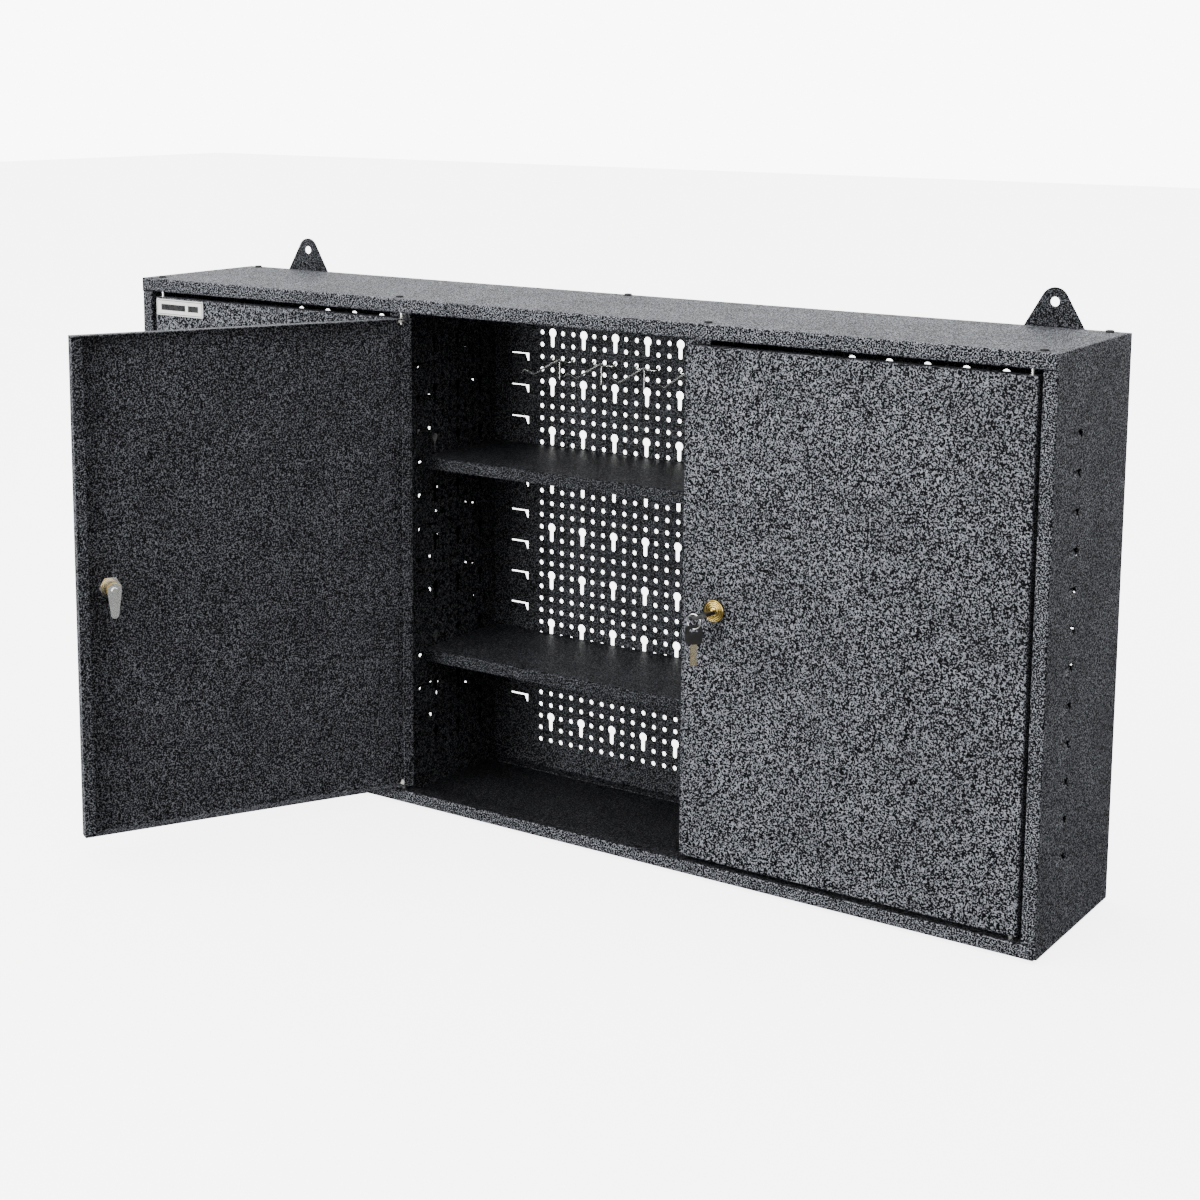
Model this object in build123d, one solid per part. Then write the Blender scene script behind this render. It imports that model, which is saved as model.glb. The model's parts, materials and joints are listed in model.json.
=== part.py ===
"""Three-bay hanging wall cabinet in folded steel sheet, with perforated backs, pan doors and cam locks.

The cabinet is drawn from its lower front left corner (x to the right, y from the front to the wall,
z up) and every piece is then moved so that the origin lies midway between the two wall screw holes,
on the wall. The middle door stands open, the two outer doors are shut.
"""

import os
from math import cos, hypot, radians, sin

from build123d import *

# ---- overall size -------------------------------------------------------------------------
WIDTH = 1200.0
DEPTH = 200.0
HEIGHT = 600.0
BAYS = 3
BAY = WIDTH / BAYS

# ---- sheet and seams ----------------------------------------------------------------------
SHEET = 1.2
BEND = 2.0  # outer radius of a visible fold
SEAM = 0.8  # gap at a butted seam
LAP = 0.1  # gap between two lapped sheets
CORNER = 7.0  # rounded lower corners of the body

# ---- body ---------------------------------------------------------------------------------
TOP_LIP = 16.0  # height of the top panel's front edge
BOTTOM_LIP = 15.0  # height of the bottom panel's front edge
SIDE_LIP = 15.0  # width of the side panels' front edge
SIDE_RETURN = 12.0  # depth of that edge's inward return
BACK_FLANGE = 17.0  # depth of the back panels' forward flanges
CORNER_TAB = 28.0  # tabs inside the front corners that take the screws
CORNER_TAB_END = 60.0

# ---- front posts on the dividers ----------------------------------------------------------
POST_LEFT = 18.0
POST_RIGHT = 12.0
POST_CLEAR = 0.62  # swinging edge of a door to the posts
POST_TAB = 14.0

# ---- perforation --------------------------------------------------------------------------
PITCH = 15.0
HOLE_R = 2.8
KEYHOLE_R = 5.25
KEYHOLE_SLOT = 5.4
KEY_FIRST = 1  # first column with keyholes
KEY_COLUMNS = 3  # columns from one keyhole to the next
KEY_ROWS = 4
GRID_TOP = 53.3  # cabinet top to the first row
GRID_BOTTOM = 36.0  # least height of the last row
GRID_SIDE = 72.5  # side of a bay to the first column
DIVIDER_GRID_FRONT = 80.0  # cabinet front to the first column
DIVIDER_GRID_BACK = 30.0  # least distance of the last column from the wall

# ---- lanced shelf tabs --------------------------------------------------------------------
TAB_PITCH = 39.0
TAB_TOP = 80.5  # cabinet top to the first tab's edge
TAB_BOTTOM = 80.0  # least height of the last tab's edge
TAB_LENGTH = 25.5
TAB_HEIGHT = 9.5
TAB_LEAN = 4.6
TAB_GAP = 2.2
TAB_SHORT = 0.5
TAB_INSET = 27.5  # side of a bay to the back tabs
TAB_DEPTH = 46.0  # cabinet front to the side tabs

# ---- shelves ------------------------------------------------------------------------------
SHELF_TABS = (3, -3)  # tabs that carry the shelves: from the top, or from the bottom if negative
SHELF_RIM = 6.5
SHELF_NOSE = 14.0
NOSE_INSET = 2.4  # the front edge stops short of the side tabs
SHELF_FRONT = 52.0
SHELF_CLEAR = 2.8

# ---- hanging lugs -------------------------------------------------------------------------
LUG_LEFT = 100.0  # left side to the left screw hole
LUG_RIGHT = 82.5  # right side to the right screw hole
LUG_RISE = 26.5  # cabinet top to the screw holes
LUG_HOLE_R = 5.0
LUG_R = 15.0
LUG_BASE = 67.0

# ---- doors --------------------------------------------------------------------------------
DOOR_SIDE_GAP = 20.0  # body side to the outer doors
DOOR_GAP = 3.0  # between two doors
DOOR_SPLIT = (0.0, -1.0, -6.5)  # left edge of each door, from the bay's own edge
DOOR_TOP_GAP = 7.0
DOOR_BOTTOM_GAP = 4.5
DOOR_SETBACK = 2.0
DOOR_THICK = 15.0
DOOR_RETURN = 11.5
DOOR_NOTCH = 3.0  # side returns stop short of the door's ends
MIDDLE_OPEN = 118.5  # angle at which the middle door stands

# ---- pivots -------------------------------------------------------------------------------
PIVOT_INSET = 7.9  # hinge edge of a door to its pivot axis
PIVOT_DEPTH = 6.0  # face of a door to its pivot axis
PIN_R = 2.0
PIN_HEAD_R = 3.6
PIN_HEAD = 1.6
PIN_REACH = 7.0  # length of pin inside the door
PIN_FIT = 0.08  # radial clearance of a pin in its bush
BUSH_R = 3.6
BUSH_COLLAR_R = 4.6
BUSH_COLLAR = 1.2
BUSH_DEPTH = 5.0
AXIAL_GAP = 0.3  # between a door and the shoulder that carries it

# ---- cam locks ----------------------------------------------------------------------------
LOCK_INSET = 37.5  # free edge of a door to the lock
LOCK_DROP = 1.2  # lock below the middle of the door
LOCK_FACE_R = 12.0
LOCK_FACE = 3.0
BARREL_R = 8.5
BARREL_CLEAR = 0.2  # back of a post to the end of the barrel
CORE_R = 5.6
CORE_FIT = 0.08
CORE_PROUD = 0.4
CORE_NECK = 2.6
SLOT_WIDTH = 7.6
SLOT_HEIGHT = 2.0
SLOT_DEPTH = 14.0
NUT_FLATS = 22.0
NUT_THICK = 4.5
CAM_THICK = 2.0
CAM_LENGTH = 31.0
CAM_ROOT_R = 8.0
CAM_TIP_R = 4.5
CAM_FIT = 0.3
CAM_SCREW_R = 3.9
CAM_SCREW_HEAD = 1.8
CAM_SCREW_SHANK_R = 1.6
CAM_SCREW_DEPTH = 4.0
KEY_TILT = 18.0  # the key in the right lock stands this far from level

# ---- keys ---------------------------------------------------------------------------------
BLADE_WIDTH = 7.0
BLADE_THICK = 1.6
BLADE_FREE = 9.0  # length of blade between lock and bow
BLADE_SINK = 6.0  # length of blade held in the bow
BLADE_INSIDE = 13.0
BOW_WIDTH = 20.0
BOW_LENGTH = 23.0
BOW_THICK = 4.0
BOW_RIM = 3.5
BOW_WINDOW = 9.0
BOW_WINDOW_HEIGHT = 7.0
RING_R = 8.0
RING_WIRE = 0.9
RING_DROP = 4.2
SPARE_WINDOW = 9.0
SPARE_WINDOW_HEIGHT = 5.0
SPARE_RIM = 2.4
SPARE_THICK = 3.0
SPARE_WIDTH = 18.0
SPARE_LENGTH = 20.0
SPARE_BLADE = 23.0
SPARE_TWIST = 42.0
SPARE_GAP = 0.4

# ---- badge, screws and wire hooks ---------------------------------------------------------
BADGE_LEFT = 3.0  # door edge to badge
BADGE_TOP = 1.8
BADGE_LENGTH = 78.5
BADGE_HEIGHT = 20.0
BADGE_THICK = 0.8
SCREW_R = 2.0
SCREW_HEAD_R = 4.6
SCREW_HEAD = 2.4
SCREW_LENGTH = 9.0
SCREW_HOLE = 0.15
FRONT_SCREW_Y = 15.0
REAR_SCREW_INSET = 9.0
SCREW_SIDE = 20.0  # body side to the corner screws
POST_SCREWS = (0.0, 12.0)  # screw of each post, from its divider
WIRE_R = 1.2
WIRE_BEND = 3.0
HOOK_COLUMNS = (1, 5, 9, 13)
HOOK_ROW = 2
HOOK_SPAN = 2 * PITCH
HOOK_LEG = 22.0
HOOK_BAR_GAP = 0.3
HOOK_ARM = ((56.0, -12.0), (75.0, -4.0), (81.0, -7.0))

# ---- worked out from the above ------------------------------------------------------------
LUG_X = (LUG_LEFT, WIDTH - LUG_RIGHT)
ORIGIN = Vector(sum(LUG_X) / 2, DEPTH, HEIGHT + LUG_RISE)
DOOR_BOTTOM = BOTTOM_LIP + DOOR_BOTTOM_GAP
DOOR_TOP = HEIGHT - TOP_LIP - DOOR_TOP_GAP
DOOR_LEFT = (
    DOOR_SIDE_GAP,
    BAY + DOOR_SPLIT[1] + DOOR_GAP / 2,
    2 * BAY + DOOR_SPLIT[2] + DOOR_GAP / 2,
)
DOOR_RIGHT = (
    DOOR_LEFT[1] - DOOR_GAP,
    DOOR_LEFT[2] - DOOR_GAP,
    WIDTH - DOOR_SIDE_GAP,
)
PIVOT_X = (
    DOOR_LEFT[0] + PIVOT_INSET,
    DOOR_LEFT[1] + PIVOT_INSET,
    DOOR_RIGHT[2] - PIVOT_INSET,
)
LOCK_X = (
    DOOR_RIGHT[0] - LOCK_INSET,
    DOOR_RIGHT[1] - LOCK_INSET,
    DOOR_LEFT[2] + LOCK_INSET,
)
LOCK_Z = (DOOR_BOTTOM + DOOR_TOP) / 2 - LOCK_DROP
DOOR_SKIN = DOOR_SETBACK + SHEET
DOOR_REAR = DOOR_SETBACK + DOOR_THICK
HINGE_LEDGE = DOOR_REAR  # depth of the inward ledges that carry the pivot pins
PIVOT_Y = DOOR_SETBACK + PIVOT_DEPTH
POST_FRONT = PIVOT_Y + hypot(PIVOT_INSET, DOOR_REAR - PIVOT_Y) + POST_CLEAR
BARREL_END = POST_FRONT + SHEET + BARREL_CLEAR
DIVIDER_X = tuple(BAY * k for k in range(1, BAYS))
COLUMNS = int((BAY - 2 * GRID_SIDE) / PITCH + 0.01) + 1
GRID_START = (BAY - (COLUMNS - 1) * PITCH) / 2
ROWS = int((HEIGHT - GRID_TOP - GRID_BOTTOM) / PITCH) + 1
TABS = int((HEIGHT - TAB_TOP - TAB_BOTTOM) / TAB_PITCH) + 1
TAB_EDGES = [HEIGHT - TAB_TOP - TAB_PITCH * k for k in range(TABS)]
BAY_NAMES = ("left", "middle", "right")


def box(x0, x1, y0, y1, z0, z1):
    """Block between two corners."""
    return Pos((x0 + x1) / 2, (y0 + y1) / 2, (z0 + z1) / 2) * Box(x1 - x0, y1 - y0, z1 - z0)


def rod(radius, start, end):
    """Round bar from one point to another."""
    line = Vector(*end) - Vector(*start)
    return Solid.make_cylinder(radius, line.length, Plane(origin=start, z_dir=line))


def folded(points, plane, length):
    """Folded sheet: its outer skin follows the points, and it is drawn out along the plane."""
    skin = FilletPolyline(*points, radius=BEND)
    section = make_face(offset(skin, amount=SHEET, side=Side.LEFT, closed=True))
    return extrude(plane * section, length)


def across(x):
    """Plane square to the width, with depth and height as its own axes."""
    return Plane(origin=(x, 0, 0), x_dir=(0, 1, 0), z_dir=(1, 0, 0))


def mirror_side(shape):
    """Left-hand piece turned into its right-hand partner."""
    return mirror(shape, Plane(origin=(WIDTH / 2, 0, 0), z_dir=(1, 0, 0)))


# ---- perforated sheet ---------------------------------------------------------------------


def keyhole(u, v):
    """Outline of a keyhole whose slot hangs one pitch below its head."""
    half = KEYHOLE_SLOT / 2
    neck = v - (KEYHOLE_R**2 - half**2) ** 0.5
    foot = v - PITCH
    return Wire([
        Edge.make_line((u - half, neck), (u - half, foot)),
        Edge.make_three_point_arc((u - half, foot), (u, foot - half), (u + half, foot)),
        Edge.make_line((u + half, foot), (u + half, neck)),
        Edge.make_three_point_arc((u + half, neck), (u, v + KEYHOLE_R), (u - half, neck)),
    ])


def perforation(columns, rows, left, top, key_first):
    """Outlines of all holes: a square grid of round holes in which some are keyholes."""
    outlines = []
    for c in range(columns):
        keyed = c % KEY_COLUMNS == key_first
        for r in range(rows):
            u = left + c * PITCH
            v = top - r * PITCH
            has_foot = r + 1 < rows
            if keyed and r % KEY_ROWS == 0 and has_foot:
                outlines.append(keyhole(u, v))
            elif keyed and r % KEY_ROWS == 1:
                continue
            else:
                outlines.append(Wire.make_circle(HOLE_R, Plane(origin=(u, v, 0))))
    return outlines


def flat_sheet(x0, x1, low, high, outlines):
    """Upright flat sheet on y = 0 to SHEET with openings cut through it."""
    outer = Wire.make_polygon([(x0, low), (x1, low), (x1, high), (x0, high)])
    flat = extrude(Face(outer, outlines), SHEET)
    return Plane(origin=(0, SHEET, 0), x_dir=(1, 0, 0), z_dir=(0, -1, 0)) * flat


def tab_window(u, edge):
    """Outline of the opening that a lanced tab leaves."""
    low = edge - TAB_HEIGHT
    return Wire.make_polygon([(u, low), (u + TAB_LENGTH, low), (u + TAB_LENGTH, edge), (u, edge)])


def tab_tongue(u, edge, length=TAB_LENGTH - TAB_GAP):
    """Tongue of a lanced tab: it leans out of a sheet that lies on y = 0 to SHEET."""
    foot = edge - TAB_HEIGHT
    section = make_face(Polyline(
        (0, foot - SHEET),
        (SHEET, foot - SHEET),
        (SHEET, foot),
        (SHEET - TAB_LEAN, edge - TAB_SHORT),
        (-TAB_LEAN, edge - TAB_SHORT),
        close=True,
    ))
    return extrude(across(u) * section, length)


# ---- body panels --------------------------------------------------------------------------


def corner_screws():
    """Places of the screws along the front and the rear, the same on top and bottom."""
    front = [SCREW_SIDE, WIDTH - SCREW_SIDE]
    front += [x + shift for x, shift in zip(DIVIDER_X, POST_SCREWS)]
    rear = [SCREW_SIDE, WIDTH / 2, WIDTH - SCREW_SIDE]
    return [(x, FRONT_SCREW_Y) for x in front] + [(x, DEPTH - REAR_SCREW_INSET) for x in rear]


def screw_bores(radius, low, high):
    """Cutters for the screws between two heights."""
    return [rod(radius, (x, y, low), (x, y, high)) for x, y in corner_screws()]


def pin_bores(low, high):
    """Cutters for the three pivot pins between two heights."""
    return [rod(PIN_R, (x, PIVOT_Y, low), (x, PIVOT_Y, high)) for x in PIVOT_X]


def top_panel():
    """Top sheet with its front edge and the ledge for the upper pivots."""
    end = SHEET + SEAM
    low = HEIGHT - TOP_LIP
    outline = ((DEPTH - SHEET - LAP, HEIGHT), (0, HEIGHT), (0, low), (HINGE_LEDGE, low))
    panel = folded(outline, across(end), WIDTH - 2 * end)
    panel -= pin_bores(low - 1, low + 2 * SHEET)
    panel -= screw_bores(SCREW_R + SCREW_HOLE, HEIGHT - 2 * SHEET, HEIGHT + 1)
    return panel


def bottom_panel():
    """Bottom sheet, the top panel's counterpart, with rounded lower corners."""
    end = SHEET + SEAM
    outline = ((HINGE_LEDGE, BOTTOM_LIP), (0, BOTTOM_LIP), (0, 0), (DEPTH - SHEET - LAP, 0))
    panel = folded(outline, across(end), WIDTH - 2 * end)
    panel -= pin_bores(BOTTOM_LIP - 2 * SHEET, BOTTOM_LIP + 1)
    panel -= screw_bores(SCREW_R + SCREW_HOLE, -1, 2 * SHEET)
    corner = box(end - 1, end + CORNER, -1, SHEET, -1, CORNER)
    corner -= rod(CORNER, (end + CORNER, -2, CORNER), (end + CORNER, SHEET + 1, CORNER))
    panel -= [corner, mirror_side(corner)]
    return panel


def side_panel():
    """Left side: wall with shelf tabs, folded front edge and tabs for the corner screws."""
    low = BOTTOM_LIP + SEAM
    high = HEIGHT - TOP_LIP - SEAM
    outline = ((SIDE_RETURN, SIDE_LIP), (0, SIDE_LIP), (0, 0), (TAB_DEPTH - 2, 0))
    upright = Plane(origin=(0, 0, low), x_dir=(0, 1, 0), z_dir=(0, 0, -1))
    edge = folded(outline, upright, low - high)
    windows = [tab_window(TAB_DEPTH, level) for level in TAB_EDGES]
    stand = Plane(origin=(SHEET, 0, 0), x_dir=(0, 1, 0), z_dir=(0, 0, 1))
    wall = stand * flat_sheet(TAB_DEPTH - 3, DEPTH, 0, HEIGHT, windows)
    ends = [box(0, SHEET, 0, TAB_DEPTH - 2, 0, low), box(0, SHEET, 0, TAB_DEPTH - 2, high, HEIGHT)]
    tongues = [stand * tab_tongue(TAB_DEPTH, level) for level in TAB_EDGES]
    under = HEIGHT - SHEET - LAP
    tabs = [
        box(0, CORNER_TAB, SIDE_RETURN - 5, CORNER_TAB_END, under - SHEET, under),
        box(0, CORNER_TAB, SIDE_RETURN - 5, CORNER_TAB_END, SHEET + LAP, 2 * SHEET + LAP),
    ]
    panel = wall + [edge] + ends + tongues + tabs
    corner = box(-1, SHEET + 1, -1, CORNER, -1, CORNER)
    corner -= rod(CORNER, (-2, CORNER, CORNER), (SHEET + 2, CORNER, CORNER))
    bore = rod(SCREW_R, (SCREW_SIDE, FRONT_SCREW_Y, -1), (SCREW_SIDE, FRONT_SCREW_Y, HEIGHT + 1))
    return panel - [corner, bore]


def divider():
    """Perforated wall between the first two bays; each opening holds a tab for either side."""
    front = POST_FRONT + SHEET
    columns = int((DEPTH - DIVIDER_GRID_BACK - DIVIDER_GRID_FRONT) / PITCH) + 1
    holes = perforation(columns, ROWS, DIVIDER_GRID_FRONT, HEIGHT - GRID_TOP, 0)
    holes += [tab_window(TAB_DEPTH, level) for level in TAB_EDGES]
    middle = DIVIDER_X[0]
    rightward = Plane(origin=(middle + SHEET / 2, 0, 0), x_dir=(0, 1, 0), z_dir=(0, 0, 1))
    leftward = Plane(origin=(middle - SHEET / 2, 0, 0), x_dir=(0, -1, 0), z_dir=(0, 0, 1))
    low = SHEET + LAP
    sheet = rightward * flat_sheet(front, DEPTH, low, HEIGHT - low, holes)
    half = (TAB_LENGTH - TAB_GAP) / 2
    far = -(TAB_DEPTH + TAB_LENGTH)
    tongues = []
    for level in TAB_EDGES:
        tongues.append(rightward * tab_tongue(TAB_DEPTH, level, half))
        tongues.append(leftward * tab_tongue(far, level, half))
    return sheet + tongues


def divider_post(x, screw):
    """Front post of a divider: the cams catch behind it, its two tabs take the screws."""
    low = SHEET + LAP
    high = HEIGHT - SHEET - LAP
    post = box(x - POST_LEFT, x + POST_RIGHT, POST_FRONT, POST_FRONT + SHEET, low, high)
    left = x + screw - POST_TAB / 2
    front = FRONT_SCREW_Y - POST_TAB / 2
    for z in (low, high - SHEET):
        post += box(left, left + POST_TAB, front, POST_FRONT + SHEET, z, z + SHEET)
    post -= rod(SCREW_R, (x + screw, FRONT_SCREW_Y, -1), (x + screw, FRONT_SCREW_Y, HEIGHT + 1))
    return post


def lug(x):
    """Hanging lug that rises from the top of a back panel."""
    circle = CenterArc((x, HEIGHT + LUG_RISE), LUG_R, 0, 360)
    base = Line((x - LUG_BASE / 2, HEIGHT - 1), (x + LUG_BASE / 2, HEIGHT - 1))
    outline = make_hull(circle.edges() + base.edges())
    face = outline - Pos(x, HEIGHT + LUG_RISE) * Circle(LUG_HOLE_R)
    return Plane(origin=(0, SHEET, 0), x_dir=(1, 0, 0), z_dir=(0, -1, 0)) * extrude(face, SHEET)


def back_panel(bay):
    """Perforated back of one bay, with flanges forward all round and shelf tabs at both sides."""
    start = bay * BAY
    x0 = start + (SHEET if bay == 0 else SHEET / 2) + LAP
    x1 = start + BAY - (SHEET if bay == BAYS - 1 else SHEET / 2) - LAP
    holes = perforation(COLUMNS, ROWS, start + GRID_START, HEIGHT - GRID_TOP, KEY_FIRST)
    places = (start + TAB_INSET, start + BAY - TAB_INSET - TAB_LENGTH)
    holes += [tab_window(u, level) for u in places for level in TAB_EDGES]
    rear = Pos(0, DEPTH - SHEET, 0)
    sheet = rear * flat_sheet(x0, x1, 0, HEIGHT, holes)
    tongues = [rear * tab_tongue(u, level) for u in places for level in TAB_EDGES]
    low = SHEET + LAP
    high = HEIGHT - SHEET - LAP
    front = DEPTH - BACK_FLANGE
    flanges = [
        box(x0, x1, front, DEPTH - SHEET / 2, high - SHEET, high),
        box(x0, x1, front, DEPTH - SHEET / 2, low, low + SHEET),
        box(x0, x0 + SHEET, front, DEPTH - SHEET / 2, low, high),
        box(x1 - SHEET, x1, front, DEPTH - SHEET / 2, low, high),
    ]
    lugs = [rear * lug(x) for x in LUG_X if x0 < x < x1]
    panel = sheet + tongues + flanges + lugs
    return panel - screw_bores(SCREW_R, -1, HEIGHT + 1)


def shelf(bay, tab):
    """Loose shelf of one bay, resting on the tabs of one level."""
    start = bay * BAY
    x0 = start + (SHEET if bay == 0 else SHEET / 2) + SHELF_CLEAR
    x1 = start + BAY - (SHEET if bay == BAYS - 1 else SHEET / 2) - SHELF_CLEAR
    rear = DEPTH - SHEET - SHELF_CLEAR
    low = TAB_EDGES[tab] - TAB_SHORT
    top = low + SHELF_RIM
    tray = box(x0, x1, SHELF_FRONT, rear, low, top)
    nose = box(x0 + NOSE_INSET, x1 - NOSE_INSET, SHELF_FRONT, SHELF_FRONT + BEND, top - SHELF_NOSE, top)
    tray = fillet((tray + nose).edges().filter_by(Axis.X).group_by(Axis.Y)[0].sort_by(Axis.Z)[-1], BEND)
    inner = box(x0 + SHEET, x1 - SHEET, SHELF_FRONT + SHEET, rear - SHEET, low - 1, top - SHEET)
    behind = box(x0 - 1, x1 + 1, SHELF_FRONT + SHEET, SHELF_FRONT + 2 * BEND, top - 2 * SHELF_NOSE, low)
    return tray - inner - behind


# ---- doors --------------------------------------------------------------------------------


def door(left, right, pivot, lock):
    """Pan door: face, four flanges and a return along both upright flanges."""
    front = DOOR_SETBACK
    rear = front + DOOR_THICK
    pan = box(left, right, front, rear, DOOR_BOTTOM, DOOR_TOP)
    pan = fillet(pan.faces().sort_by(Axis.Y)[0].edges(), BEND)
    inner = box(
        left + SHEET, right - SHEET, DOOR_SKIN, rear + 1, DOOR_BOTTOM + SHEET, DOOR_TOP - SHEET
    )
    low = DOOR_BOTTOM + DOOR_NOTCH
    high = DOOR_TOP - DOOR_NOTCH
    returns = [
        box(left + SHEET / 2, left + DOOR_RETURN, rear - SHEET, rear, low, high),
        box(right - DOOR_RETURN, right - SHEET / 2, rear - SHEET, rear, low, high),
    ]
    bores = [
        rod(BUSH_R, (pivot, PIVOT_Y, DOOR_BOTTOM - 1), (pivot, PIVOT_Y, DOOR_TOP + 1)),
        rod(BARREL_R, (lock, 0, LOCK_Z), (lock, 2 * DOOR_SKIN, LOCK_Z)),
    ]
    return (pan - inner) + returns - bores


def hinge_pins(x):
    """Upper and lower pivot pin of one door, riveted into the two ledges."""
    high = HEIGHT - TOP_LIP
    upper = rod(PIN_R, (x, PIVOT_Y, DOOR_TOP - PIN_REACH), (x, PIVOT_Y, high + SHEET))
    upper += rod(PIN_HEAD_R, (x, PIVOT_Y, high + SHEET), (x, PIVOT_Y, high + SHEET + PIN_HEAD))
    low = BOTTOM_LIP
    lower = rod(PIN_R, (x, PIVOT_Y, low - SHEET), (x, PIVOT_Y, DOOR_BOTTOM + PIN_REACH))
    lower += rod(PIN_HEAD_R, (x, PIVOT_Y, low - SHEET - PIN_HEAD), (x, PIVOT_Y, low - SHEET))
    lower += rod(BUSH_R, (x, PIVOT_Y, low), (x, PIVOT_Y, DOOR_BOTTOM - AXIAL_GAP))
    return Compound(children=[upper.solid(), lower.solid()])


def hinge_bushes(x):
    """Plastic bushes in the two end flanges of a door."""
    parts = []
    for flange, way in ((DOOR_TOP, -1), (DOOR_BOTTOM, 1)):
        inside = flange + way * SHEET
        bush = rod(BUSH_R, (x, PIVOT_Y, flange), (x, PIVOT_Y, flange + way * BUSH_DEPTH))
        bush += rod(BUSH_COLLAR_R, (x, PIVOT_Y, inside), (x, PIVOT_Y, inside + way * BUSH_COLLAR))
        bush -= rod(PIN_R + PIN_FIT, (x, PIVOT_Y, flange - 10), (x, PIVOT_Y, flange + 10))
        parts.append(bush.solid())
    return Compound(children=parts)


# ---- cam locks ----------------------------------------------------------------------------


def depthwise(radius, x, z, y0, y1):
    """Round bar along the depth."""
    return rod(radius, (x, y0, z), (x, y1, z))


def tilted(shape, x, z, turn):
    """Shape turned about a lock's axis; the left end sinks."""
    return shape.rotate(Axis((x, 0, z), (0, 1, 0)), -turn)


def lock_body(x):
    """Threaded barrel with its stepped front ring."""
    front = DOOR_SETBACK - LOCK_FACE
    ring = depthwise(LOCK_FACE_R, x, LOCK_Z, front, DOOR_SETBACK)
    ring = chamfer(ring.edges().sort_by(Axis.Y)[0], 0.7)
    ring -= depthwise(LOCK_FACE_R - 3.4, x, LOCK_Z, front - 1, front + 0.6)
    ring += depthwise(BARREL_R, x, LOCK_Z, front + 0.2, BARREL_END)
    return ring - depthwise(CORE_R + CORE_FIT, x, LOCK_Z, front - 1, BARREL_END + 1)


def lock_nut(x):
    """Hexagon nut that clamps the barrel from inside."""
    seat = Plane(origin=(x, DOOR_SKIN, LOCK_Z), x_dir=(1, 0, 0), z_dir=(0, 1, 0))
    hexagon = RegularPolygon(NUT_FLATS / 2, 6, major_radius=False)
    nut = extrude(seat * hexagon, NUT_THICK)
    return nut - depthwise(BARREL_R, x, LOCK_Z, DOOR_SKIN - 1, DOOR_SKIN + NUT_THICK + 1)


def lock_core(x):
    """Turning plug with the key slot in front and a square drive behind."""
    front = DOOR_SETBACK - LOCK_FACE - CORE_PROUD
    back = BARREL_END + CAM_FIT
    core = depthwise(CORE_R, x, LOCK_Z, front, back)
    core = chamfer(core.edges().sort_by(Axis.Y)[0], 0.4)
    core += box(x - CORE_NECK, x + CORE_NECK, back, back + CAM_THICK, LOCK_Z - CORE_NECK, LOCK_Z + CORE_NECK)
    slot = box(
        x - SLOT_WIDTH / 2, x + SLOT_WIDTH / 2, front - 1, front + SLOT_DEPTH,
        LOCK_Z - SLOT_HEIGHT / 2, LOCK_Z + SLOT_HEIGHT / 2,
    )
    core -= tilted(slot, x, LOCK_Z, KEY_TILT)
    core -= depthwise(CAM_SCREW_SHANK_R, x, LOCK_Z, back + CAM_THICK - CAM_SCREW_DEPTH, back + 9)
    return core


def lock_cam(x):
    """Latch cam: a tapered arm that points down when the lock is open."""
    front = BARREL_END + CAM_FIT
    reach = CAM_LENGTH - CAM_TIP_R
    seat = Plane(origin=(x, front + CAM_THICK, LOCK_Z), x_dir=(1, 0, 0), z_dir=(0, -1, 0))
    root = CenterArc((0, 0), CAM_ROOT_R, 0, 360)
    tip = CenterArc((0, -reach), CAM_TIP_R, 0, 360)
    arm = extrude(seat * make_hull(root.edges() + tip.edges()), CAM_THICK)
    hole = box(x - CORE_NECK, x + CORE_NECK, front - 1, front + 9, LOCK_Z - CORE_NECK, LOCK_Z + CORE_NECK)
    return arm - hole


def lock_cam_screw(x):
    """Screw that holds the cam on the plug."""
    face = BARREL_END + CAM_FIT + CAM_THICK
    head = depthwise(CAM_SCREW_R, x, LOCK_Z, face, face + CAM_SCREW_HEAD)
    head = fillet(head.edges().sort_by(Axis.Y)[-1], 0.8)
    slot = box(x - 0.5, x + 0.5, face + CAM_SCREW_HEAD - 0.7, face + 9, LOCK_Z - 9, LOCK_Z + 9)
    return head - slot + depthwise(CAM_SCREW_SHANK_R, x, LOCK_Z, face - CAM_SCREW_DEPTH, face)


# ---- keys in the right-hand lock ----------------------------------------------------------


def key_blade(x):
    """Blade of the key that sits in the lock, cut along one edge."""
    face = DOOR_SETBACK - LOCK_FACE - CORE_PROUD
    start = face - BLADE_FREE - BLADE_SINK
    blade = box(
        x - BLADE_WIDTH / 2, x + BLADE_WIDTH / 2, start, face + SLOT_DEPTH,
        LOCK_Z - BLADE_THICK / 2, LOCK_Z + BLADE_THICK / 2,
    )
    for k in range(5):
        y = face + 1.5 + 2.4 * k
        cut = box(x + BLADE_WIDTH / 2 - 1.2, x + BLADE_WIDTH, y, y + 1.2, LOCK_Z - 2, LOCK_Z + 2)
        blade -= cut
    return tilted(blade, x, LOCK_Z, KEY_TILT)


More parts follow.
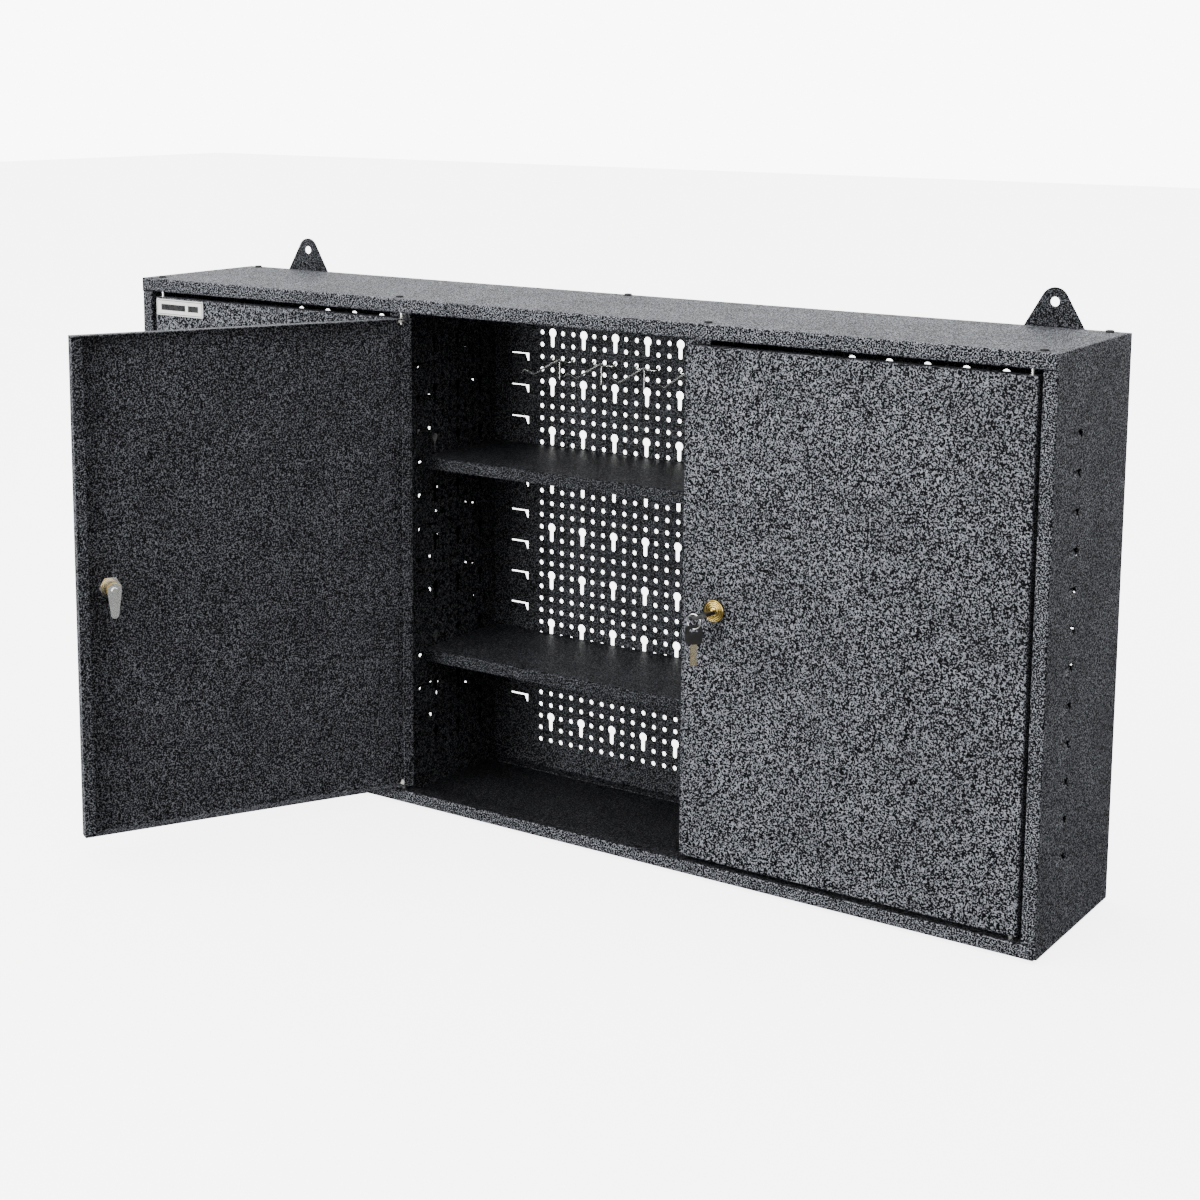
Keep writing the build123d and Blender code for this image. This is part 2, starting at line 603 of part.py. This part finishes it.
def key_bow(x):
    """Plastic bow of the key, with the window that the ring passes through."""
    face = DOOR_SETBACK - LOCK_FACE - CORE_PROUD
    rear = face - BLADE_FREE
    half = BOW_WIDTH / 2
    thick = BOW_THICK / 2
    bow = box(x - half, x + half, rear - BOW_LENGTH, rear, LOCK_Z - thick, LOCK_Z + thick)
    bow = fillet(bow.edges().filter_by(Axis.Z), 4.0)
    bow = fillet(bow.edges().group_by(Axis.Z)[0] + bow.edges().group_by(Axis.Z)[-1], 0.7)
    middle = rear - BOW_LENGTH / 2 - 5.0
    window = box(
        x - half + BOW_RIM, x - half + BOW_RIM + BOW_WINDOW,
        middle - BOW_WINDOW_HEIGHT / 2, middle + BOW_WINDOW_HEIGHT / 2, LOCK_Z - 9, LOCK_Z + 9,
    )
    bow -= window
    bow -= box(
        x - BLADE_WIDTH / 2, x + BLADE_WIDTH / 2, rear - BLADE_SINK, rear + 1,
        LOCK_Z - BLADE_THICK / 2, LOCK_Z + BLADE_THICK / 2,
    )
    return tilted(bow, x, LOCK_Z, KEY_TILT)


def ring_centre(x):
    """Centre of the key ring, which hangs from the rim of the bow."""
    face = DOOR_SETBACK - LOCK_FACE - CORE_PROUD
    reach = BOW_WIDTH / 2 - BOW_RIM / 2
    tilt = radians(KEY_TILT)
    y = face - BLADE_FREE - BOW_LENGTH / 2 - 5.0
    return (x - reach * cos(tilt), y, LOCK_Z - reach * sin(tilt) - RING_DROP)


def key_ring(x):
    """Round wire ring."""
    return Plane(origin=ring_centre(x), z_dir=(0, 1, 0)) * Torus(RING_R, RING_WIRE)


def spare_frame(x):
    """Where the spare key hangs: its own x across the bow, z up, origin in the ring's wire."""
    cx, cy, cz = ring_centre(x)
    turn = radians(SPARE_TWIST)
    return Plane(origin=(cx, cy, cz - RING_R), x_dir=(cos(turn), sin(turn), 0), z_dir=(0, 0, 1))


def spare_key_bow(x):
    """Bow of the second key; the slot near its top hangs on the ring."""
    top = RING_WIRE + SPARE_GAP + SPARE_RIM
    half = SPARE_WIDTH / 2
    thick = SPARE_THICK / 2
    bow = box(-half, half, -thick, thick, top - SPARE_LENGTH, top)
    bow = fillet(bow.edges().filter_by(Axis.Y), 3.5)
    slot_top = RING_WIRE + SPARE_GAP
    bow -= box(-SPARE_WINDOW / 2, SPARE_WINDOW / 2, -9, 9, slot_top - SPARE_WINDOW_HEIGHT, slot_top)
    foot = top - SPARE_LENGTH
    bow -= box(-BLADE_WIDTH / 2, BLADE_WIDTH / 2, -BLADE_THICK / 2, BLADE_THICK / 2, foot - 1, foot + 5)
    return spare_frame(x) * bow


def spare_key_blade(x):
    """Blade of the second key, with a groove and cuts."""
    foot = RING_WIRE + SPARE_GAP + SPARE_RIM - SPARE_LENGTH
    half = BLADE_WIDTH / 2
    blade = box(-half, half, -BLADE_THICK / 2, BLADE_THICK / 2, foot - SPARE_BLADE, foot + 5)
    for k in range(5):
        z = foot - SPARE_BLADE + 3.0 + 3.2 * k
        blade -= box(half - 0.8 - 0.5 * (k % 2), half + 1, -2, 2, z, z + 1.5)
    blade -= box(-1.4, -0.4, BLADE_THICK / 2 - 0.4, 2, foot - SPARE_BLADE - 1, foot - 1)
    return spare_frame(x) * blade


# ---- badge, screws and wire hooks ---------------------------------------------------------


def badge_plate():
    """Thin plate on the left door with an engraved border."""
    left = DOOR_LEFT[0] + BADGE_LEFT
    top = DOOR_TOP - BADGE_TOP
    front = DOOR_SETBACK - BADGE_THICK
    plate = box(left, left + BADGE_LENGTH, front, DOOR_SETBACK, top - BADGE_HEIGHT, top)
    plate = fillet(plate.edges().filter_by(Axis.Y), 1.2)
    wide = box(left + 1.2, left + BADGE_LENGTH - 1.2, front - 1, front + 0.2,
               top - BADGE_HEIGHT + 1.2, top - 1.2)
    narrow = box(left + 1.8, left + BADGE_LENGTH - 1.8, front - 2, front + 1,
                 top - BADGE_HEIGHT + 1.8, top - 1.8)
    return plate - (wide - narrow)


def panel_screws(face, way):
    """The seven low-head screws of the top (way -1) or the bottom (way 1)."""
    screws = []
    for x, y in corner_screws():
        head = rod(SCREW_HEAD_R, (x, y, face), (x, y, face - way * SCREW_HEAD))
        rim = head.edges().sort_by(Axis.Z)[0 if way > 0 else -1]
        head = fillet(rim, 1.4)
        socket = rod(1.6, (x, y, face - way * 0.9), (x, y, face - way * 9))
        shank = rod(SCREW_R, (x, y, face), (x, y, face + way * SCREW_LENGTH))
        screws.append((head - socket + shank).solid())
    return Compound(children=screws)


def wire(points):
    """Bent round wire."""
    path = FilletPolyline(*points, radius=WIRE_BEND)
    start = Plane(origin=path @ 0, z_dir=path % 0)
    return sweep(start * Circle(WIRE_R), path=path)


def wire_hook(bay, column):
    """Peg hook: a staple through two holes and a dropped arm welded under its middle."""
    left = bay * BAY + GRID_START + column * PITCH
    right = left + HOOK_SPAN
    hole = HEIGHT - GRID_TOP - HOOK_ROW * PITCH
    front = DEPTH - SHEET - WIRE_R - HOOK_BAR_GAP - 2.0
    bar = hole - 3.0
    staple = wire([
        (left, DEPTH - LAP, hole), (left, front, bar), (right, front, bar), (right, DEPTH - LAP, hole),
    ])
    middle = left + HOOK_SPAN / 2
    stem = front - 1.9 * WIRE_R
    shoulder = bar + WIRE_BEND
    arm = [(middle, stem, bar - HOOK_LEG), (middle, stem, shoulder)]
    arm += [(middle, stem - reach, shoulder + rise) for reach, rise in HOOK_ARM]
    return (staple + wire(arm)).solid()


# ---- assembly -----------------------------------------------------------------------------


def lock_parts(name, x):
    """The five pieces of one cam lock."""
    return {
        "lock_body_" + name: lock_body(x),
        "lock_nut_" + name: lock_nut(x),
        "lock_core_" + name: lock_core(x),
        "lock_cam_" + name: lock_cam(x),
        "lock_cam_screw_" + name: lock_cam_screw(x),
    }


def door_parts(bay):
    """One door with its bushes and lock, in the shut position."""
    name = BAY_NAMES[bay]
    pieces = {
        "door_" + name: door(DOOR_LEFT[bay], DOOR_RIGHT[bay], PIVOT_X[bay], LOCK_X[bay]),
        "hinge_bushes_" + name: hinge_bushes(PIVOT_X[bay]),
    }
    pieces.update(lock_parts(name, LOCK_X[bay]))
    return pieces


def cabinet():
    """Every piece by name."""
    side = side_panel()
    wall = divider()
    pieces = {
        "side_panel_left": side,
        "side_panel_right": mirror_side(side),
        "top_panel": top_panel(),
        "bottom_panel": bottom_panel(),
        "divider_left": wall,
        "divider_right": Pos(BAY, 0, 0) * wall,
        "divider_post_left": divider_post(DIVIDER_X[0], POST_SCREWS[0]),
        "divider_post_right": divider_post(DIVIDER_X[1], POST_SCREWS[1]),
        "top_screws": panel_screws(HEIGHT, -1),
        "bottom_screws": panel_screws(0, 1),
        "badge_plate": badge_plate(),
    }
    for bay, name in enumerate(BAY_NAMES):
        pieces["back_panel_" + name] = back_panel(bay)
        pieces["shelf_upper_" + name] = shelf(bay, SHELF_TABS[0])
        pieces["shelf_lower_" + name] = shelf(bay, SHELF_TABS[1])
        pieces["hinge_pins_" + name] = hinge_pins(PIVOT_X[bay])
    for number, column in enumerate(HOOK_COLUMNS, start=1):
        pieces["wire_hook_%d" % number] = wire_hook(1, column)
    pieces.update(door_parts(0))
    pieces.update(door_parts(2))
    hinge = Axis((PIVOT_X[1], PIVOT_Y, 0), (0, 0, 1))
    for node, piece in door_parts(1).items():
        pieces[node] = piece.rotate(hinge, -MIDDLE_OPEN)
    x = LOCK_X[2]
    pieces["key_bow"] = key_bow(x)
    pieces["key_blade"] = key_blade(x)
    pieces["key_ring"] = key_ring(x)
    pieces["spare_key_bow"] = spare_key_bow(x)
    pieces["spare_key_blade"] = spare_key_blade(x)
    return pieces


os.makedirs("parts", exist_ok=True)
for node, piece in cabinet().items():
    export_step(Pos(-ORIGIN.X, -ORIGIN.Y, -ORIGIN.Z) * piece, "parts/" + node + ".step")
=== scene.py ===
"""Hanging wall cabinet: finishes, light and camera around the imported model."""

import json

import bpy
from mathutils import Matrix, Vector


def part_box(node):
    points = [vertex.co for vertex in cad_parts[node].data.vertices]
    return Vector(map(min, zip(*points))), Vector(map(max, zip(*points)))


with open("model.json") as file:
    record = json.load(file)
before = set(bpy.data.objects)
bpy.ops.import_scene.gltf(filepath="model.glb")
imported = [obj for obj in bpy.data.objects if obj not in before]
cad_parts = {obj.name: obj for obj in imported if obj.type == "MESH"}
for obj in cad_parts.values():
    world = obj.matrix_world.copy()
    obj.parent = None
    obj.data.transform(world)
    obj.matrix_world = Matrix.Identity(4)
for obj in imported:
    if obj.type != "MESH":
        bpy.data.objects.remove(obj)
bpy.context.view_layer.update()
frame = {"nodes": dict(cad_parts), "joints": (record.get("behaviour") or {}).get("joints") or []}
MM = 0.001
SIDES = ("left", "middle", "right")


def colour(code):
    """Linear RGBA of an sRGB hex colour."""
    channels = [int(code[i:i + 2], 16) / 255 for i in (1, 3, 5)]
    return [c / 12.92 if c <= 0.04045 else ((c + 0.055) / 1.055) ** 2.4 for c in channels] + [1.0]


# ---- building materials -------------------------------------------------------------------

PIT = 1.45 * MM  # width of one silver fleck
TEAR = 3.4 * MM  # distance between breaks in a run of flecks
POOL = 55 * MM  # patches that are richer or poorer in silver
PIT_DEPTH = 0.3 * MM
TURN = 1.9 * MM  # width of one ring on a turned lock face
RADIANS_A_TURN = 6.2832


def add(tree, kind, settings=(), **inputs):
    """A node with its settings; each input is a constant or another node's output socket."""
    node = tree.nodes.new("ShaderNode" + kind)
    for name, value in dict(settings).items():
        setattr(node, name, value)
    for name, value in inputs.items():
        socket = node.inputs[int(name[1:]) if name[1:].isdigit() else name.replace("_", " ")]
        if isinstance(value, bpy.types.NodeSocket):
            tree.links.new(value, socket)
        else:
            socket.default_value = value
    return node


def ramp(tree, factor, stops):
    """Colour ramp between two (position, colour code) stops."""
    node = add(tree, "ValToRGB", Fac=factor)
    for element, (place, code) in zip(node.color_ramp.elements, stops):
        element.position = place
        element.color = colour(code)
    return node.outputs["Color"]


def levels(tree, value, low, high, out_low, out_high):
    """Value mapped from one range to another and clamped."""
    node = add(tree, "MapRange", i0=value, i1=low, i2=high, i3=out_low, i4=out_high)
    return node.outputs["Result"]


def combine(tree, operation, first, second):
    """Result of arithmetic on two values."""
    return add(tree, "Math", {"operation": operation}, i0=first, i1=second).outputs["Value"]


def noise(tree, place, size, detail=2.0, roughness=0.5, distortion=0.0):
    """Noise with features of a real size in metres."""
    node = add(tree, "TexNoise", Vector=place, Scale=1 / size, Detail=detail,
               Roughness=roughness, Distortion=distortion)
    return node.outputs["Fac"]


def start_material(name):
    """Empty material, its node tree and the object's own coordinates."""
    material = bpy.data.materials.new(name)
    material.use_nodes = True
    tree = material.node_tree
    tree.nodes.clear()
    return material, tree, add(tree, "TexCoord").outputs["Object"]


def finish_material(tree, bump=None, depth=0.0, **surface):
    """Principled surface, with a bump height if there is one, joined to the output."""
    if bump is not None:
        relief = add(tree, "Bump", Height=bump, Distance=depth, Strength=1.0)
        surface["Normal"] = relief.outputs["Normal"]
    shader = add(tree, "BsdfPrincipled", **surface)
    add(tree, "OutputMaterial", Surface=shader.outputs["BSDF"])


def powder_coat(name, dark, vein, vein_amount, rough, painted_shade_way=None, painted_shade_share=1.0):
    """Baked hammer powder coat: near-black paint with silver flecks that wander like worms.

    Faces turned along the given shade direction are inside faces of the cabinet; they get fewer
    silver flecks, down to the given share, as painted shade."""
    material, tree, place = start_material(name)
    pits = noise(tree, place, PIT, detail=1.0, roughness=0.4, distortion=0.3)
    broken = noise(tree, place, TEAR, detail=1.0)
    worm = levels(tree, pits, 0.51, 0.58, 0.0, 1.0)
    torn = levels(tree, broken, 0.36, 0.60, 0.55, 1.0)
    fleck = combine(tree, "MULTIPLY", worm, torn)
    pooled = levels(tree, noise(tree, place, POOL), 0.35, 0.65, 0.8, 1.05)
    fleck = combine(tree, "MULTIPLY", fleck, pooled)
    fleck = combine(tree, "MULTIPLY", fleck, vein_amount)
    # painted shade: fewer silver flecks, so darker paint, on faces turned the shade direction
    if painted_shade_way:
        normal = add(tree, "TexCoord").outputs["Normal"]
        facing = add(tree, "VectorMath", {"operation": "DOT_PRODUCT"}, i0=normal, i1=painted_shade_way)
        painted_shade = levels(tree, facing.outputs["Value"], 0.5, 0.9, 1.0, painted_shade_share)
        fleck = combine(tree, "MULTIPLY", fleck, painted_shade)
    paint = add(tree, "MixRGB", Fac=fleck, Color1=colour(dark), Color2=colour(vein))
    gloss = levels(tree, fleck, 0.0, 1.0, rough + 0.12, rough - 0.08)
    metallic = levels(tree, fleck, 0.1, 0.6, 0.0, 0.15)
    finish_material(tree, pits, PIT_DEPTH, Base_Color=paint.outputs["Color"], Roughness=gloss,
                    Metallic=metallic, Specular_IOR_Level=0.05)
    return material


def plated(name, code, rough):
    """Plated or polished metal with fine handling marks."""
    material, tree, place = start_material(name)
    cloud = noise(tree, place, 6 * MM, detail=3.0)
    scratch = noise(tree, place, 0.4 * MM, detail=4.0, roughness=0.7)
    tone = levels(tree, cloud, 0.3, 0.7, 0.86, 1.0)
    shade = add(tree, "MixRGB", {"blend_type": "MULTIPLY"},
                Fac=1.0, Color1=colour(code), Color2=tone)
    roughness = levels(tree, scratch, 0.3, 0.7, rough * 0.7, rough * 1.4)
    finish_material(tree, scratch, 0.02 * MM, Base_Color=shade.outputs["Color"], Metallic=1.0,
                    Roughness=roughness)
    return material


def turned_brass(name, joint):
    """Lock face turned on a lathe: brass under a film of nickel, with rings about the lock's own
    axis, the hollow of each ring darkened as painted shade.
    """
    material, tree, place = start_material(name)
    centre = next(j["pos_m"] for j in frame["joints"] if j["name"] == joint)
    reach = add(tree, "VectorMath", {"operation": "DISTANCE"}, i0=place, i1=centre)
    turns = combine(tree, "MULTIPLY", reach.outputs["Value"], RADIANS_A_TURN / TURN)
    ridge = combine(tree, "SINE", turns, 0.0)
    groove_painted_shade = levels(tree, ridge, -1.0, -0.3, 1.0, 0.0)
    tarnish = levels(tree, noise(tree, place, 4 * MM, detail=3.0), 0.35, 0.65, 0.0, 1.0)
    metal = add(tree, "MixRGB", Fac=tarnish, Color1=colour("#a98c45"), Color2=colour("#c9b06a"))
    # painted shade: the hollow of each ring is mixed toward dark brown
    shade = add(tree, "MixRGB", Fac=combine(tree, "MULTIPLY", groove_painted_shade, 0.85),
                Color1=metal.outputs["Color"], Color2=colour("#241b0a"))
    finish_material(tree, ridge, 0.15 * MM, Base_Color=shade.outputs["Color"], Metallic=1.0,
                    Roughness=levels(tree, tarnish, 0.0, 1.0, 0.3, 0.2))
    return material


def moulded(name, code, rough):
    """Injection-moulded plastic with a fine spark-eroded grain and faint handling shine."""
    material, tree, place = start_material(name)
    grain = noise(tree, place, 0.25 * MM, detail=2.0)
    worn = noise(tree, place, 8 * MM)
    roughness = levels(tree, worn, 0.35, 0.65, rough - 0.08, rough + 0.08)
    finish_material(tree, grain, 0.03 * MM, Base_Color=colour(code), Roughness=roughness,
                    Specular_IOR_Level=0.5)
    return material


def badge_finish():
    """White enamel plate with a narrow black border line and a plain row of bars."""
    material, tree, place = start_material("white_enamel_badge")
    low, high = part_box("badge_plate")
    split = add(tree, "SeparateXYZ", Vector=place)
    x = split.outputs["X"]
    z = split.outputs["Z"]

    def between(value, start, end):
        after = combine(tree, "GREATER_THAN", value, start)
        return combine(tree, "MULTIPLY", after, combine(tree, "LESS_THAN", value, end))

    def frame_of(inset):
        across = between(x, low[0] + inset, high[0] - inset)
        return combine(tree, "MULTIPLY", across, between(z, low[2] + inset, high[2] - inset))

    border = combine(tree, "SUBTRACT", frame_of(1.2 * MM), frame_of(1.9 * MM))
    span = high[0] - low[0]
    band = between(z, low[2] + 6.2 * MM, high[2] - 6.2 * MM)
    wide = between(x, low[0] + 0.10 * span, low[0] + 0.62 * span)
    short = between(x, low[0] + 0.68 * span, low[0] + 0.90 * span)
    bars = combine(tree, "MULTIPLY", band, combine(tree, "ADD", wide, short))
    ink = combine(tree, "MINIMUM", combine(tree, "ADD", border, bars), 1.0)
    dust = levels(tree, noise(tree, place, 5 * MM, detail=3.0), 0.35, 0.65, 0.22, 0.34)
    paint = add(tree, "MixRGB", Fac=ink, Color1=colour("#f1f1ee"), Color2=colour("#17181a"))
    finish_material(tree, noise(tree, place, 1.2 * MM), 0.02 * MM,
                    Base_Color=paint.outputs["Color"], Roughness=dust)
    return material


UPWARD = (0, 0, 1)
OPEN_DOOR_INSIDE = (0.879, -0.477, 0)  # the way the inside of the open door faces
COAT = ("#020203", "#b4b7c0", 0.6, 0.5)  # paint, silver, share of silver, roughness

OUTSIDE = powder_coat("black_silver_vein_coat", *COAT)
# painted shade copies of the coat: level faces such as the bay floor, and the open middle door's
# inside, get fewer silver flecks
LEVEL_PAINTED_SHADE = powder_coat("black_silver_vein_coat_painted_shade_level", *COAT, painted_shade_way=UPWARD, painted_shade_share=0.2)
OPENED_PAINTED_SHADE = powder_coat("black_silver_vein_coat_painted_shade_opened", *COAT, painted_shade_way=OPEN_DOOR_INSIDE, painted_shade_share=0.62)
# darker copies of the same coat, with dimmer and fewer silver flecks, for the divider, back panel
# and shelf inside the cabinet: painted shade
INSIDE_PAINTED_SHADE = powder_coat("black_vein_coat_inside_painted_shade", "#010101", "#85888f", 0.5, 0.5)
SHELF_PAINTED_SHADE = powder_coat("shelf_vein_coat_painted_shade", "#010101", "#7c7f86", 0.5, 0.38)
ZINC = plated("bright_zinc_plate", "#e3e5e2", 0.2)
LOCK_FACES = {side: turned_brass("turned_brass_" + side, side + "_lock_turn") for side in SIDES}
KEY = plated("key_blade_nickel_brass", "#c9bd9d", 0.22)
CHROME = plated("ring_chrome", "#dcdcdc", 0.08)
NYLON = moulded("natural_nylon", "#c9c6bd", 0.5)
BOW = moulded("black_key_bow", "#0a0a0b", 0.36)
BLACK_OXIDE = plated("black_oxide_screws", "#2b2b2d", 0.4)
BADGE = badge_finish()

# the bottom panel, the middle door, the divider, the back panel and the shelf take the painted-shade
# copies of the coat
FINISH = {
    "side_panel": OUTSIDE, "top_panel": OUTSIDE, "bottom_panel": LEVEL_PAINTED_SHADE, "door": OUTSIDE,
    "door_middle": OPENED_PAINTED_SHADE,
    "divider_post": OUTSIDE, "divider": INSIDE_PAINTED_SHADE, "back_panel": INSIDE_PAINTED_SHADE, "shelf": SHELF_PAINTED_SHADE,
    "hinge_pins": ZINC, "hinge_bushes": NYLON,
    "lock_nut": ZINC, "lock_cam": ZINC, "key_bow": BOW, "spare_key_bow": BOW, "key_blade": KEY,
    "spare_key_blade": KEY, "key_ring": CHROME, "badge_plate": BADGE, "wire_hook": ZINC,
    "top_screws": BLACK_OXIDE, "bottom_screws": BLACK_OXIDE,
}
CRISP_FOLDS = ("side_panel", "top_panel", "bottom_panel", "door", "divider_post", "shelf",
               "lock_body", "lock_nut", "lock_cam", "badge_plate")


def dress(name, piece):
    """Give one node its finish and break its sharp sheet edges."""
    kind = max((k for k in FINISH if name.startswith(k)), key=len)
    piece.data.materials.clear()
    piece.data.materials.append(FINISH[kind])
    if name.startswith(CRISP_FOLDS):
        edge = piece.modifiers.new("paint_on_edges", "BEVEL")
        edge.width = 0.35 * MM
        edge.segments = 2
        edge.limit_method = "ANGLE"
        edge.angle_limit = 0.6
        edge.harden_normals = True


for side, brass in LOCK_FACES.items():
    FINISH["lock_body_" + side] = brass
    FINISH["lock_core_" + side] = brass

for node_name, node_piece in frame["nodes"].items():
    dress(node_name, node_piece)


# ---- floor, light and camera --------------------------------------------------------------

FLOOR_REACH = 14.0
FLOOR_GAP = 1 * MM
FLOOR_GLOW = 4.5
BRIGHTEST_WAY = (-0.35, -0.2, 0.915)  # from above and a little from the front left
SEEN_WHITE = 9.0
MIRRORED_WHITE = 3.0
AIM = (0, -0.1, -0.3)  # what both lights look at


def pale_floor():
    """Large white floor just under the cabinet."""
    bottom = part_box("bottom_screws")[0][2] - FLOOR_GAP
    mesh = bpy.data.meshes.new("floor")
    corners = [(x * FLOOR_REACH, y * FLOOR_REACH, bottom)
               for x, y in ((-1, -1), (1, -1), (1, 1), (-1, 1))]
    mesh.from_pydata(corners, [], [(0, 1, 2, 3)])
    floor = bpy.data.objects.new("floor", mesh)
    bpy.context.collection.objects.link(floor)
    material, tree, place = start_material("white_floor")
    tone = noise(tree, place, 0.8)
    paint = ramp(tree, tone, [(0.3, "#f4f4f4"), (0.7, "#f8f8f8")])
    # white to the eye, but it throws little light back onto the cabinet
    seen = add(tree, "LightPath").outputs["Is Camera Ray"]
    cast = add(tree, "MixRGB", Fac=seen, Color1=colour("#6e6e6e"), Color2=paint)
    finish_material(tree, Base_Color=cast.outputs["Color"], Roughness=0.8, Specular_IOR_Level=0.0,
                    Emission_Color=colour("#ffffff"),
                    Emission_Strength=combine(tree, "MULTIPLY", seen, FLOOR_GLOW))
    mesh.materials.append(material)


def soft_box(name, place, target, size, power):
    """Square area light that looks at a point."""
    data = bpy.data.lights.new(name, "AREA")
    data.shape = "RECTANGLE"
    data.size, data.size_y = size
    data.energy = power
    lamp = bpy.data.objects.new(name, data)
    lamp.location = place
    lamp.rotation_euler = (Vector(target) - Vector(place)).to_track_quat("-Z", "Y").to_euler()
    bpy.context.collection.objects.link(lamp)


def white_surround():
    """White studio cove that is brightest above and white to the eye."""
    world = bpy.data.worlds.new("white_surround")
    world.use_nodes = True
    tree = world.node_tree
    tree.nodes.clear()
    way = add(tree, "TexCoord").outputs["Generated"]
    facing = add(tree, "VectorMath", {"operation": "DOT_PRODUCT"}, i0=way, i1=BRIGHTEST_WAY)
    glow = levels(tree, facing.outputs["Value"], 0.2, 0.95, 0.55, 3.6)
    seen = add(tree, "LightPath").outputs["Is Camera Ray"]
    # bright to the eye and in polished metal, softer as a light on the paint
    mirrored = add(tree, "LightPath").outputs["Is Glossy Ray"]
    shown = combine(tree, "MAXIMUM", combine(tree, "MULTIPLY", seen, SEEN_WHITE),
                    combine(tree, "MULTIPLY", mirrored, MIRRORED_WHITE))
    strength = combine(tree, "MAXIMUM", glow, shown)
    back = add(tree, "Background", Color=colour("#ffffff"), Strength=strength)
    add(tree, "OutputWorld", Surface=back.outputs["Background"])
    bpy.context.scene.world = world


def camera():
    """Camera to the right of the cabinet and a little above it, with a shifted frame."""
    data = bpy.data.cameras.new("camera")
    data.lens = 62.79
    data.shift_x = 0.02668
    data.shift_y = -0.17793
    data.clip_end = 100
    holder = bpy.data.objects.new("camera", data)
    turn = Matrix.Rotation(0.596404, 4, "Z") @ Matrix.Rotation(1.421143, 4, "X")
    turn = turn @ Matrix.Rotation(0.005918, 4, "Z")
    holder.matrix_world = Matrix.Translation((1.30077, -2.06196, 0.23255)) @ turn
    bpy.context.collection.objects.link(holder)
    bpy.context.scene.camera = holder


pale_floor()
white_surround()
soft_box("key_softbox", (-1.0, -3.4, 0.1), AIM, (1.8, 1.2), 110)
soft_box("top_softbox", (-0.3, 0.2, 2.4), AIM, (1.6, 1.0), 25)
camera()
